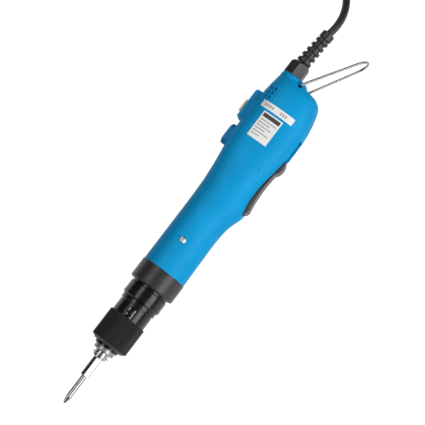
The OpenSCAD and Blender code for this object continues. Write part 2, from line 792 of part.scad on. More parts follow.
module motor_brushes() {
    brush = 3;
    color(dark_grey) for (side = [0, 180]) rotate([side, 0, 0])
        block([motor_back + 3, -brush / 2, commutator_r + fit * 2], [motor_back + 3 + brush * 1.3, brush / 2, rotor_r - 1]);
}

// ================= Collar and housing =================
module clamping_collar() {
    edge = 1.5;
    color(black) difference() {
        turned([[0, collar_back], [collar_r - 0.3, collar_back], [collar_r, collar_back + 0.3],
            [collar_r, collar_front - edge], [collar_r - edge * 0.3, collar_front - edge * 0.35],
            [collar_r - edge, collar_front], [0, collar_front]]);
        rod_x(neck_r + fit, collar_back - cut, collar_front + cut);
        rod_x(lip_r + fit, collar_back - cut, collar_back + lip_len + gap);
    }
}

// A slot with round ends, cut along Y from the back of the housing
module back_slot(x_low, x_high, width, y_low, y_high) {
    for (x = [x_low + width / 2, x_high - width / 2]) translate([x, y_low, 0]) rotate([-90, 0, 0])
        cylinder(h = y_high - y_low, r = width / 2, $fn = 48);
    block([x_low + width / 2, y_low, -width / 2], [x_high - width / 2, y_high, width / 2]);
}

// The switch block's outline stands on the back and slopes up at its front end
module switch_block(inset, y_base) {
    translate([0, 0, -block_w / 2 + inset]) linear_extrude(block_w - 2 * inset)
        polygon([[block_front - inset * 1.5, y_base], [block_front - block_slope - inset * 0.6, block_top + inset],
            [block_back + 1.6, block_top + inset], [block_back + inset, block_top + 1.6],
            [block_back + inset, y_base]]);
}

// Ribs that hold the three switches between the shells
module switch_ribs() {
    start_top = slot_floor - wall - switch_drop;
    block([start_switch_x - 4, start_top - 6, start_switch_half], [start_switch_x + 4, start_top + 1, housing_half - wall]);
    block([button_switch_x - 4, button_switch_y, button_switch_half],
        [button_switch_x + 4, -board_half - gap, housing_half - wall - 1.2]);
    block([slider_x - 6, block_top + wall + 3.2, direction_switch_half],
        [slider_x + 6, block_top + wall + 6.5, housing_half - 8]);
}

// Posts under the corners of the circuit board
module board_posts() {
    for (x = [board_back + 5, board_front - 5], y = [2 - board_half, board_half - 2])
        translate([x, y, board_w - board_z]) cylinder(h = housing_half - wall - board_w + board_z + 0.8, r = 1.8, $fn = 24);
}

module housing_half_shell() {
    seat_w = 6.5;
    vent_rows = [[-16.5, 0, 41], [-12.5, -0.5, 25]];
    vent_pitch = 4;
    vent_x = behind(154.9);
    difference() {
        union() {
            difference() {
                union() {
                    half_form(stations, half_steps);
                    intersection() {
                        switch_block(0, 0);
                        translate([block_back - cut, block_top - cut, 0]) cube([60, 40, block_w]);
                    }
                }
                half_form(cavity_stations, cavity_steps);
                switch_block(wall * 0.6, -10);
            }
            // screw post behind the rating label
            translate([post_x, post_y, 0]) cylinder(h = housing_half - wall / 2, r = post_r, $fn = 32);
            switch_ribs();
            // lip that the collar clamps
            intersection() {
                rod_x(lip_r, collar_back - cut, collar_back + lip_len);
                translate([collar_back - 2 * cut, -lip_r, 0]) cube([lip_len + 3 * cut, 2 * lip_r, lip_r]);
            }
        }
        rod_x(neck_r + fit, bulkhead_back - fit, collar_front);
        rod_x(bore_r, cavity_front - cut, bulkhead_back + cut);
        // slot for the lever, with a floor over the motor
        block([slot_back, slot_floor, -slot_w / 2], [slot_front, collar_r * 2, slot_w / 2]);
        // pin across the slot
        translate([pivot_lever_x, pivot_lever_y, -cut])
            cylinder(h = slot_w / 2 + 3, r = lever_pin_r, $fn = 32);
        // hole in the floor for the switch plunger
        translate([start_switch_x, slot_floor - wall - cut, 0]) rotate([-90, 0, 0])
            cylinder(h = wall + 2 * cut, r = plunger_r + gap, $fn = 32);
        // push button well
        back_slot(button_back - gap, button_front + gap, button_w + 2 * gap, -collar_r * 2, -grip_r + 3);
        // slider opening in the switch block
        block([slider_x - slider_len / 2 - slider_travel - gap, block_top - cut, -slider_w / 2 - gap],
            [slider_x + slider_len / 2 + slider_travel + gap, block_top + wall + cut, slider_w / 2 + gap]);
        // screw into the gear case
        translate([screw_x, 0, 0]) cylinder(h = grip_r + cut, r = screw_shank_r + fit, $fn = 32);
        translate([screw_x, 0, grip_r - screw_head_h - 0.3]) cylinder(h = screw_head_h + cut, r = screw_head_r + fit * 2, $fn = 32);
        // hanger pivot
        translate([pivot_x, pivot_y, pivot_bottom]) cylinder(h = housing_half, r = pivot_hole_r, $fn = 32);
        translate([pivot_x, pivot_y, pivot_face]) cylinder(h = housing_half, r = pivot_recess_r, $fn = 32);
        // cable gland
        translate([0, gland_y, 0]) rod_x(gland_thread_r + fit, housing_back - cut, cavity_back + cut);
        translate([0, gland_y, 0]) rod_x(locknut_r + fit, cavity_back, cavity_back + locknut_w + cut);
        for (row = vent_rows, i = [0 : 2])
            translate([vent_x + row[1] - i * vent_pitch, row[0], 13]) rotate([row[2], 0, 0])
                cylinder(h = housing_half * 2, r = vent_d / 2, $fn = 24, center = true);
    }
}
start_switch_x = behind(106.6);
start_switch_half = 3.2;
button_switch_x = behind(116);
button_switch_y = -grip_r + 4;
button_switch_half = 3;
direction_switch_half = 4;
plunger_r = 1.2;
pivot_bottom = 9;
pivot_face = 11.2;

module housing_upper() {
    color(blue) difference() {
        housing_half_shell();
        translate([post_x, post_y, -cut]) cylinder(h = housing_half * 2, r = screw_shank_r + fit, $fn = 32);
        translate([post_x, post_y, housing_half - screw_head_h - 1])
            cylinder(h = housing_half, r = screw_head_r + fit * 2, $fn = 32);
    }
}

module housing_lower() {
    color(blue) mirror([0, 0, 1]) difference() {
        union() {
            housing_half_shell();
            board_posts();
        }
        translate([post_x, post_y, -cut]) cylinder(h = housing_half - wall, r = screw_shank_r, $fn = 32);
    }
}

// A screw that points down -Z, with its head's seat at the origin
module pan_screw(length) {
    slot_half = 0.35;
    difference() {
        union() {
            cylinder(h = screw_head_h - 0.5, r = screw_head_r, $fn = 32);
            translate([0, 0, screw_head_h - 0.5]) cylinder(h = 0.5, r1 = screw_head_r, r2 = screw_head_r - 0.7, $fn = 32);
            translate([0, 0, -length]) cylinder(h = length + fit, r = screw_shank_r, $fn = 32);
        }
        for (turn = [0, 90]) rotate([0, 0, turn])
            block([-screw_head_r * 0.6, -slot_half, screw_head_h - 1], [screw_head_r * 0.6, slot_half, screw_head_h + cut]);
    }
}

module housing_screws() {
    seat = grip_r - screw_head_h - 0.3;
    color(steel) {
        for (side = [0, 180]) rotate([side, 0, 0]) translate([screw_x, 0, seat])
            pan_screw(seat - neck_r + screw_bite - gap);
        translate([post_x, post_y, housing_half - screw_head_h - 1]) pan_screw(housing_half * 2 - wall * 2 - 4);
    }
}

// ================= Controls =================
function lever_edge(x) = lever_low + (x - lever_dip_x) * (x - lever_dip_x) / lever_curve;
lever_outer = concat(
    [[lever_front, slot_floor + 4.4], [lever_front - 0.6, slot_floor + 6.4], [lever_front - 2, slot_floor + 7.6]],
    [for (d = [75.6 : 5 : 110.6]) [behind(d), lever_edge(behind(d))]],
    [for (a = [150 : -15 : 20]) [pivot_lever_x + 1 + knuckle_half * cos(180 - a), knuckle_y + knuckle_h * sin(a)]]
);

module start_lever() {
    inner_y = slot_floor + 3.9;
    skirt = [[lever_back + 1.2, slot_floor + 3.2], [pivot_lever_x, slot_floor + 0.9],
        [pivot_lever_x + 6, slot_floor + 2.4], [lever_front, inner_y]];
    color(black) difference() {
        translate([0, 0, -lever_w / 2]) linear_extrude(lever_w) polygon(concat(lever_outer, skirt));
        // the channel under the skin
        translate([0, -lever_skin, -lever_w / 2 + lever_skin]) linear_extrude(lever_w - 2 * lever_skin)
            intersection() {
                polygon(concat(lever_outer, [[lever_back + 1.2, 0], [lever_front, 0]]));
                translate([pivot_lever_x + 7, 0]) square([lever_front - 9 - pivot_lever_x, 60]);
            }
        translate([pivot_lever_x, pivot_lever_y, -lever_w])
            cylinder(h = 2 * lever_w, r = lever_pin_r + fit, $fn = 32);
    }
}

module lever_pin() {
    color(steel) translate([pivot_lever_x, pivot_lever_y, -slot_w / 2 - 1.8])
        cylinder(h = slot_w + 3.6, r = lever_pin_r, $fn = 32);
}

module lever_spring() {
    spring_at = -95;
    spring_top = lever_edge(spring_at) - lever_skin - 0.1;
    color(steel) translate([spring_at, slot_floor, 0]) rotate([0, 0, 90])
        spring_x(2.2, 0.3, gap / 6, spring_top - slot_floor, 4, 10);
}

module start_switch() {
    body_top = slot_floor - wall - switch_drop;
    color(black) difference() {
        block([start_switch_x - 6.5, body_top - 6.5, -start_switch_half], [start_switch_x + 6.5, body_top, start_switch_half]);
        translate([start_switch_x, body_top - 2.5, 0]) rotate([-90, 0, 0]) cylinder(h = 5, r = plunger_r + fit, $fn = 32);
    }
}

module switch_plunger() {
    plunger_top = lever_edge(start_switch_x) - lever_skin - 0.1;
    body_top = slot_floor - wall - switch_drop;
    color(white) translate([start_switch_x, body_top - 1.2, 0]) rotate([-90, 0, 0])
        cylinder(h = plunger_top - body_top + 1.2, r = plunger_r, $fn = 32);
}

module push_button() {
    crown = 1.2;
    top = button_y - button_h;
    color(blue) {
        hull() {
            back_slot(button_back, button_front, button_w, top + crown, -grip_r);
            back_slot(button_back + crown, button_front - crown, button_w - 2 * crown, top + 0.3, top + crown);
            back_slot(button_back + 3.5, button_front - 3.5, button_w - 7, top, top + crown);
        }
        back_slot(button_back + wall, button_front - wall, button_w - 2 * wall, -grip_r, -grip_r + 1);
    }
}

module button_switch() {
    color(black) {
        block([button_switch_x - 6, button_switch_y, -button_switch_half], [button_switch_x + 6, button_switch_y + 4, button_switch_half]);
        translate([button_switch_x, -grip_r + 1 + button_press + gap / 2, 0]) rotate([-90, 0, 0]) cylinder(h = 3 - button_press - gap / 2 + fit, r = 1.7, $fn = 32);
    }
}

module direction_switch() {
    color(dark_grey) block([slider_x - 9, block_top + wall + 1.6, -direction_switch_half],
        [slider_x + 9, block_top + wall + 8, direction_switch_half]);
}

module direction_slider() {
    base = block_top + wall + 1.4;
    plate = 1.1;
    color(yellow) difference() {
        union() {
            block([slider_x - slider_len / 2, block_top - slider_h, -slider_w / 2],
                [slider_x + slider_len / 2, base - plate + fit, slider_w / 2]);
            block([slider_x - slider_len / 2 - 2, base - plate, -slider_w / 2 - 1], [slider_x + slider_len / 2 + 2, base, slider_w / 2 + 1]);
        }
        // grip notches
        for (i = [-2 : 2]) translate([slider_x + i * 1.8, block_top - slider_h, -slider_w])
            cylinder(h = 2 * slider_w, r = 0.5, $fn = 16);
    }
}

module circuit_board() {
    color(green) difference() {
        block([board_back, -board_half, board_z - board_w], [board_front, board_half, board_z]);
        translate([post_x, post_y, board_z - board_w - cut]) cylinder(h = board_w + 2 * cut, r = post_r + gap, $fn = 32);
    }
    color(black) {
        block([board_front - 13, 2 - board_half, board_z], [board_front - 2, 7.5 - board_half, board_z + 8]);
        block([board_back + 11, 7 - board_half, board_z], [board_back + 21, board_half - 3, board_z + 9]);
    }
    color(steel) for (y = [4.5 - board_half, board_half - 5.5])
        translate([board_back + 5.5, y, board_z]) cylinder(h = 11, r = 4, $fn = 32);
}

// ================= Hanger =================
// One bent wire: a stub in each shell, a bend, a leg that leans inward and a round end
hanger_leg_half = 15;
hanger_end_half = 10.5;
hanger_bend_r = 2;
hanger_run = hanger_len - hanger_end_half;
hanger_bend_z = hanger_leg_half - hanger_bend_r;
hanger_lean = atan2(hanger_bend_z, hanger_run - hanger_bend_r)
    - asin((hanger_end_half - hanger_bend_r) / norm([hanger_run - hanger_bend_r, hanger_bend_z]));
hanger_lower = concat(
    [[0, 0, -pivot_bottom - 0.5]],
    [for (i = [0 : 7]) let (a = 180 + (90 + hanger_lean) * i / 7)
        [hanger_bend_r * (1 + cos(a)), 0, hanger_bend_r * sin(a) - hanger_bend_z]],
    [for (i = [0 : 9]) let (a = (hanger_lean - 90) * (1 - i / 9))
        [hanger_run + hanger_end_half * cos(a), 0, hanger_end_half * sin(a)]]
);
hanger_path = concat(hanger_lower, [for (i = [len(hanger_lower) - 2 : -1 : 0])
    [hanger_lower[i][0], 0, -hanger_lower[i][2]]]);

module hanger_bail() {
    sides = 24;
    rings = [for (i = [0 : len(hanger_path) - 1]) let (up = cross(heading(hanger_path, i), [0, 1, 0]))
        [for (j = [0 : sides - 1]) let (a = 360 * j / sides)
            hanger_path[i] + hanger_wire_r * (cos(a) * [0, 1, 0] - sin(a) * up)]];
    color(steel) translate([pivot_x, pivot_y, 0]) rotate([0, 0, 180 - hanger_angle]) loft(rings);
}

// ================= Cable gland and cable =================
module gland_body() {
    color(black) translate([0, gland_y, 0]) difference() {
        union() {
            rod_x(gland_thread_r, housing_back - 3, cavity_back + locknut_w + 1);
            rod_x(locknut_r, cavity_back + 0.1, cavity_back + locknut_w, 6);
        }
        rod_x(cable_d / 2, housing_back - 4, cavity_back + locknut_w + 2);
    }
}

module gland_nut() {
    corner_r = gland_af / sqrt(3);
    nut_back = housing_back - gland_nut_len - gland_chamfer;
    color(black) translate([0, gland_y, 0]) difference() {
        intersection() {
            rod_x(corner_r, nut_back, housing_back, 6);
            turned([[0, nut_back], [corner_r * 0.78, nut_back], [corner_r, nut_back + gland_chamfer],
                [corner_r, housing_back - 0.4], [corner_r - 0.6, housing_back], [0, housing_back]]);
        }
        rod_x(gland_thread_r, housing_back - 3, housing_back + cut);
        rod_x(cable_d / 2, nut_back - cut, housing_back);
    }
}

// Places what lies on the gland's leaning axis, with +X along it and away from the tool
module on_relief() {
    translate([housing_back - gland_nut_len - gland_chamfer, gland_y, 0]) rotate([0, 0, 180 - gland_tilt]) children();
}

module strain_relief() {
    pitch = relief_len / relief_ribs;
    groove = 1.7;
    relief_end = relief_len + relief_collar_len;
    ribs = [for (i = [0 : relief_ribs - 1], p = [[0.2, 0], [0.32, 1], [0.75, 1], [0.87, 0]])
        let (x = (i + p[0]) * pitch, r = relief_r - (relief_r - relief_end_r) * x / relief_len)
            [r - groove * (1 - p[1]), x]];
    color(black) on_relief() turned(concat([[cable_d / 2, 0.6], [relief_r - groove, 0.6]], ribs,
        [[relief_end_r - groove, relief_len], [relief_end_r, relief_len + 0.4],
         [relief_end_r, relief_end - 0.6], [relief_end_r - 0.6, relief_end], [cable_d / 2, relief_end]]));
}

// The loose part of the cable, from the strain relief to its coil
run_start = [housing_back - gland_nut_len - gland_chamfer, gland_y, 0]
    + (relief_len + relief_collar_len) * [-cos(gland_tilt), sin(gland_tilt), 0];
run_points = [
    [-243, -9.8, -0.8], [-252, -11, -3.4], [-261, -14.5, -7], [-269.5, -20, -10.8], [-276.5, -26.5, -13.8],
    [-284, -32.5, -15.7], [-292.5, -38, cord_z], [-301, -43.3, cord_z], [-311, -46.5, cord_z],
    [-321, -47.4, cord_z]
];
// The plug lies on the coil.
coil_top = table_z + 2 * coil_half;
tail_z = coil_top + cable_d / 2;
tail_points = [[-324.4, -43.6, tail_z], [-330, -47.9, tail_z + 0.4], [-338, -51.5, tail_z + 2]];
plug_start = [-348.1, -51];
plug_turn = 139;
plug_r = 7.4;
plug_z = coil_top + plug_r;

// Points of a smooth curve through the given ones
function smooth(p, steps) = concat(
    [for (i = [0 : len(p) - 2], s = [0 : steps - 1])
        let (a = p[max(i - 1, 0)], b = p[i], c = p[i + 1], d = p[min(i + 2, len(p) - 1)], t = s / steps)
            b + t * (c - a) / 2 + t * t * (a - 2.5 * b + 2 * c - d / 2)
              + t * t * t * (1.5 * b - a / 2 - 1.5 * c + d / 2)],
    [p[len(p) - 1]]);

module cord_run() {
    color(black) swept(smooth(concat([run_start], run_points), 2), cable_d / 2, 12);
}

module cord_coil() {
    round_r = cable_d / 2;
    low = coil_mid_r - coil_half;
    high = coil_mid_r + coil_half;
    color(black) translate([coil_centre[0], coil_centre[1], table_z]) rotate_extrude($fn = 96)
        polygon([[low + round_r / 2, 0], [high - round_r / 2, 0], [high, round_r / 2],
            [high, 2 * coil_half - round_r / 2], [high - round_r / 2, 2 * coil_half],
            [low + round_r / 2, 2 * coil_half], [low, 2 * coil_half - round_r / 2], [low, round_r / 2]]);
}

module cord_tail() {
    color(black) swept(smooth(concat(tail_points, [[plug_start[0], plug_start[1], plug_z]]), 2), cable_d / 2, 12);
}

// A strap round the coil's turns, at the side away from the tool
module cord_tie() {
    strap_w = 8;
    strap = 0.8;
    color(black) translate([coil_centre[0] - coil_mid_r, coil_centre[1] - strap_w / 2, table_z]) difference() {
        translate([-coil_half - strap, 0, 0]) cube([2 * coil_half + 2 * strap, strap_w, 2 * coil_half + strap]);
        translate([-coil_half - 0.3, -cut, -cut]) cube([2 * coil_half + 0.6, strap_w + 2 * cut, 2 * coil_half + cut + 0.1]);
    }
}

// ================= Plug =================
plug_len = 34;
module at_plug() {
    translate([plug_start[0], plug_start[1], plug_z]) rotate([0, 0, plug_turn]) children();
}

module plug_body() {
    boot_len = 10;
    color(black) at_plug() difference() {
        turned([[0, 0], [cable_d / 2 + 1, 0], [plug_r - 1.6, boot_len], [plug_r, boot_len + 1],
            [plug_r, plug_len - 12], [plug_r - 0.8, plug_len - 11.5], [plug_r - 0.8, plug_len - 10.5],
            [plug_r, plug_len - 10], [plug_r, plug_len - 0.5], [plug_r - 0.5, plug_len], [0, plug_len]]);
        rod_x(plug_r - 1.4, plug_len - 4, plug_len + cut);
    }
}

module plug_insert() {
    pins = 5;
    color(brass) at_plug() {
        rod_x(plug_r - 1.4, plug_len - 4, plug_len - 0.6);
        for (i = [0 : pins - 1]) rotate([360 * i / (pins + 1), 0, 0]) translate([0, 0, 3.4])
            rod_x(0.6, plug_len - 0.6, plug_len + 4.5, 24);
    }
}

// ================= Labels =================
// The labels follow the housing: a thin band cut from the form of the upper shell, grown a little
module label_band(x_low, x_high, y_low, y_high) {
    skin = 0.15;
    grown = [for (s = stations) [s[0], s[1] + skin, s[2] + skin, s[3] + skin, s[4]]];
    intersection() {
        difference() {
            half_form(grown, half_steps);
            half_form(stations, half_steps);
        }
        block([x_low, y_low, 5], [x_high, y_high, housing_half * 2]);
    }
}

module rating_label() {
    color(white) label_band(behind(144.4), behind(121.7), -10.4, 7.3);
}

module strip_label() {
    color(white) label_band(behind(152), behind(146.3), -16.2, 13.3);
}

screwdriver_bit();
output_spindle();
detent_ball();
bit_sleeve();
sleeve_spring();
retaining_ring();
nose_bush();
spring_seat();
lock_ring();
torque_ring();
clutch_spring();
thrust_plate();
clutch_balls();
drive_cam();
scale_sleeve();
gear_case();
output_bearing();
ring_gear();
output_carrier();
output_planet_1();
output_planet_2();
output_planet_3();
input_carrier();
input_planet_1();
input_planet_2();
input_planet_3();
rotor_shaft();
rotor_core();
commutator();
motor_can();
motor_magnets();
motor_bushes();
motor_end_cap();
motor_brushes();
clamping_collar();
housing_upper();
housing_lower();
housing_screws();
start_lever();
lever_pin();
lever_spring();
start_switch();
switch_plunger();
push_button();
button_switch();
direction_switch();
direction_slider();
circuit_board();
hanger_bail();
gland_body();
gland_nut();
strain_relief();
rating_label();
strip_label();
cord_run();
cord_coil();
cord_tail();
cord_tie();
plug_body();
plug_insert();
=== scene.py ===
"""Electric torque screwdriver with its cable: looks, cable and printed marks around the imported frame."""
import math

import bpy
from mathutils import Matrix, Vector


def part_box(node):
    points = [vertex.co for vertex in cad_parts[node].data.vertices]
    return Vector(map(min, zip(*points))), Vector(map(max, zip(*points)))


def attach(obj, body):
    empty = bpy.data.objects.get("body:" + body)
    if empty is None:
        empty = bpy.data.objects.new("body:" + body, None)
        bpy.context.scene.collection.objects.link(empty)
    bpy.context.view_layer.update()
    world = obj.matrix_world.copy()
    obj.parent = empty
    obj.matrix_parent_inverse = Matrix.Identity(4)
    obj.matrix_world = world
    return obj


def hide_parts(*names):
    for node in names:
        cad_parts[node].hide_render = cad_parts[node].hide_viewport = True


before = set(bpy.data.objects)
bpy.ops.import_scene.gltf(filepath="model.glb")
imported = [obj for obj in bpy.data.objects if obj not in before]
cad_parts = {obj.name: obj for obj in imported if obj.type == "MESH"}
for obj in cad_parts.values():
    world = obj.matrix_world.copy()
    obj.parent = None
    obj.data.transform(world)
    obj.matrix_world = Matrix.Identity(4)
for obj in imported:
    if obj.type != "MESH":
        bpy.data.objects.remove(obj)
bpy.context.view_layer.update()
scene = bpy.context.scene
scene.view_settings.view_transform = "Standard"
MM = 0.001

# ---- Camera ----
TABLE_Z = -0.0191
LOOK_AT = Vector((-0.0675, 0.0019, 0.0))
TO_CAMERA = Vector((0.0976, 0.2069, 0.9735)).normalized()
CAMERA_FAR = 1.254
CAMERA_FOV = math.radians(14.86)
AXIS_SLANT = math.radians(52.6)


def in_view(direction):
    """The unit vector of a direction as the camera sees it, flat in the picture's plane."""
    return (direction - TO_CAMERA * direction.dot(TO_CAMERA)).normalized()


def add_camera():
    """The camera, turned so that the tool axis runs across the picture at AXIS_SLANT."""
    backwards = in_view(Vector((-1, 0, 0)))
    towards_lever = backwards.cross(TO_CAMERA)
    if towards_lever.y < 0:
        towards_lever = -towards_lever
    right = math.cos(AXIS_SLANT) * backwards + math.sin(AXIS_SLANT) * towards_lever
    up = math.sin(AXIS_SLANT) * backwards - math.cos(AXIS_SLANT) * towards_lever
    camera = bpy.data.objects.new("camera", bpy.data.cameras.new("camera"))
    scene.collection.objects.link(camera)
    turn = Matrix((right, up, TO_CAMERA)).transposed()
    camera.matrix_world = Matrix.Translation(LOOK_AT + TO_CAMERA * CAMERA_FAR) @ turn.to_4x4()
    camera.data.angle = CAMERA_FOV
    camera.data.clip_start = 0.05
    scene.camera = camera


add_camera()


# ---- Small helpers ----
def link(name, data):
    obj = bpy.data.objects.new(name, data)
    scene.collection.objects.link(obj)
    return obj


def mesh_piece(name, verts, faces, smooth=True):
    mesh = bpy.data.meshes.new(name)
    mesh.from_pydata([tuple(v) for v in verts], [], faces)
    mesh.validate()
    mesh.update()
    if smooth:
        mesh.shade_smooth()
    return link(name, mesh)


def smooth_points(points, steps):
    """Points of a smooth curve through the given ones, as in the part's source."""
    out = []
    for i in range(len(points) - 1):
        a = points[max(i - 1, 0)]
        b = points[i]
        c = points[i + 1]
        d = points[min(i + 2, len(points) - 1)]
        for s in range(steps):
            t = s / steps
            out.append(
                b
                + t * (c - a) / 2
                + t * t * (a - 2.5 * b + 2 * c - d / 2)
                + t * t * t * (1.5 * b - a / 2 - 1.5 * c + d / 2)
            )
    out.append(points[-1])
    return out


# ---- Cable: from the strain relief down to the table, eight turns of coil, then the plug ----
CABLE_D = 6.2 * MM
CABLE_Z = TABLE_Z + CABLE_D / 2
COIL_CENTRE = Vector((-0.338, -0.018, 0))
COIL_MID = 34 * MM
COIL_STEP = CABLE_D + 0.02 * MM
EXIT = Vector((-0.234592, -0.0105616, 0))
RUN = [
    (-0.243, -0.0098, -0.0008), (-0.252, -0.011, -0.0034), (-0.261, -0.0145, -0.007),
    (-0.2695, -0.020, -0.0108), (-0.2765, -0.0265, -0.0138), (-0.284, -0.0325, -0.0157),
    (-0.2925, -0.038, CABLE_Z), (-0.301, -0.0433, CABLE_Z), (-0.3095, -0.0485, CABLE_Z),
]
# Cells of the coil's cross-section in the order that they are wound, (layer, ring), and the angle at which
# each change to the next cell starts. A change takes CHANGE degrees, and the plug lies on the last turn.
CELLS = [(0, 1), (0, 0), (0, -1), (1, -1), (1, 0), (1, 1), (2, 1), (2, 0), (2, -1), (3.3, -0.2)]
CHANGES = [325, 685, 985, 1285, 1645, 1945, 2245, 2605, 2905]
CHANGE = 60
COIL_START = 64
COIL_END = 2965
COIL_FACET = 8
PLUG_IN = Vector((-0.3481, -0.051, 0.0069))
PLUG_HEADING = math.radians(139)
PLUG_OVERLAP = 3 * MM
RUN_STEPS = 4
END_STEPS = 8


def ease(t):
    """From 0 to 1, mostly straight, with soft ends."""
    t = min(max(t, 0.0), 1.0)
    soft = 0.12
    if t < soft:
        return t * t / (2 * soft * (1 - soft))
    if t > 1 - soft:
        return 1 - (1 - t) ** 2 / (2 * soft * (1 - soft))
    return (t - soft / 2) / (1 - soft)


def coil_point(angle, layer, ring):
    """The coil's centre line at an angle in degrees, on a layer and ring of its cross-section."""
    spread = COIL_MID + ring * COIL_STEP
    turn = -math.radians(angle)
    height = CABLE_Z + layer * COIL_STEP
    return Vector((COIL_CENTRE.x + spread * math.cos(turn), COIL_CENTRE.y + spread * math.sin(turn), height))


def coil_points():
    points = []
    for angle in range(COIL_START, COIL_END + 1, COIL_FACET):
        layer, ring = CELLS[0]
        for start, before, after in zip(CHANGES, CELLS, CELLS[1:]):
            t = ease((angle - start) / CHANGE)
            layer += (after[0] - before[0]) * t
            ring += (after[1] - before[1]) * t
        points.append(coil_point(angle, layer, ring))
    return points


def cable_points():
    """The cable's centre line from the strain relief to just inside the plug."""
    lead_in = [EXIT] + [Vector(p) for p in RUN]
    coil = coil_points()
    # The last stretch of the run's curve is left off, because the coil's own points follow it.
    start = smooth_points(lead_in + coil[:2], RUN_STEPS)[:-RUN_STEPS - 1]
    into_plug = Vector((math.cos(PLUG_HEADING), math.sin(PLUG_HEADING), 0))
    last = coil[-1]
    reach = (PLUG_IN - last).length
    leaving = (last - coil[-2]).normalized() * reach
    arriving = into_plug * reach
    end = []
    for step in range(1, END_STEPS + 1):
        t = step / END_STEPS
        end.append(
            (2 * t**3 - 3 * t**2 + 1) * last + (t**3 - 2 * t**2 + t) * leaving
            + (3 * t**2 - 2 * t**3) * PLUG_IN + (t**3 - t**2) * arriving
        )
    return start + coil + end + [PLUG_IN + into_plug * PLUG_OVERLAP]


def tube_curve(name, points, radius, sides=4):
    curve = bpy.data.curves.new(name, "CURVE")
    curve.dimensions = "3D"
    curve.bevel_depth = radius
    curve.bevel_resolution = sides
    curve.use_fill_caps = True
    spline = curve.splines.new("POLY")
    spline.points.add(len(points) - 1)
    for point, at in zip(spline.points, points):
        point.co = (*at, 1)
    spline.use_smooth = True
    return link(name, curve)


route = cable_points()
cable = tube_curve("cable", route, CABLE_D / 2)


# ---- Materials ----
ROUGH_SWING = 0.05
PATCH_SIZE = 30
NOISE_LOW = 0.3
NOISE_HIGH = 0.7


def linear(colour):
    """A display colour as the linear one that the shader takes."""
    return tuple(c / 12.92 if c <= 0.04045 else ((c + 0.055) / 1.055) ** 2.4 for c in colour) + (1.0,)


def surface(name, colour, rough, metal=0.0, grain=900, bump=0.1, depth=0.00005, mottle=0.06,
            stretch=(1, 1, 1), coat=0.0, spec=0.5):
    """A moulded, turned or drawn surface. grain is noise cells a metre, mottle the share that the colour
    varies by, and stretch the grain's direction."""
    material = bpy.data.materials.new(name)
    material.use_nodes = True
    nodes, links = material.node_tree.nodes, material.node_tree.links
    shader = nodes["Principled BSDF"]
    shader.inputs["Metallic"].default_value = metal
    shader.inputs["Specular IOR Level"].default_value = spec
    shader.inputs["Coat Weight"].default_value = coat
    shader.inputs["Coat Roughness"].default_value = 0.15
    place = nodes.new("ShaderNodeTexCoord")
    scale = nodes.new("ShaderNodeMapping")
    scale.inputs["Scale"].default_value = stretch
    links.new(place.outputs["Object"], scale.inputs["Vector"])

    def noise(cells, detail):
        node = nodes.new("ShaderNodeTexNoise")
        node.inputs["Scale"].default_value = cells
        node.inputs["Detail"].default_value = detail
        links.new(scale.outputs["Vector"], node.inputs["Vector"])
        return node

    fine_grain = noise(grain, 4)
    patches = noise(grain / PATCH_SIZE, 3)
    tint = nodes.new("ShaderNodeValToRGB")
    base = linear(colour)
    tint.color_ramp.elements[0].position = NOISE_LOW
    tint.color_ramp.elements[0].color = tuple(c * (1 - mottle) for c in base[:3]) + (1,)
    tint.color_ramp.elements[1].position = NOISE_HIGH
    tint.color_ramp.elements[1].color = tuple(min(c * (1 + mottle), 1) for c in base[:3]) + (1,)
    links.new(patches.outputs["Fac"], tint.inputs["Fac"])
    links.new(tint.outputs["Color"], shader.inputs["Base Color"])
    gloss = nodes.new("ShaderNodeMapRange")
    gloss.inputs["From Min"].default_value = NOISE_LOW
    gloss.inputs["From Max"].default_value = NOISE_HIGH
    gloss.inputs["To Min"].default_value = rough - ROUGH_SWING
    gloss.inputs["To Max"].default_value = rough + ROUGH_SWING
    links.new(fine_grain.outputs["Fac"], gloss.inputs["Value"])
    links.new(gloss.outputs["Result"], shader.inputs["Roughness"])
    relief = nodes.new("ShaderNodeBump")
    relief.inputs["Strength"].default_value = bump
    relief.inputs["Distance"].default_value = depth
    links.new(fine_grain.outputs["Fac"], relief.inputs["Height"])
    links.new(relief.outputs["Normal"], shader.inputs["Normal"])
    return material


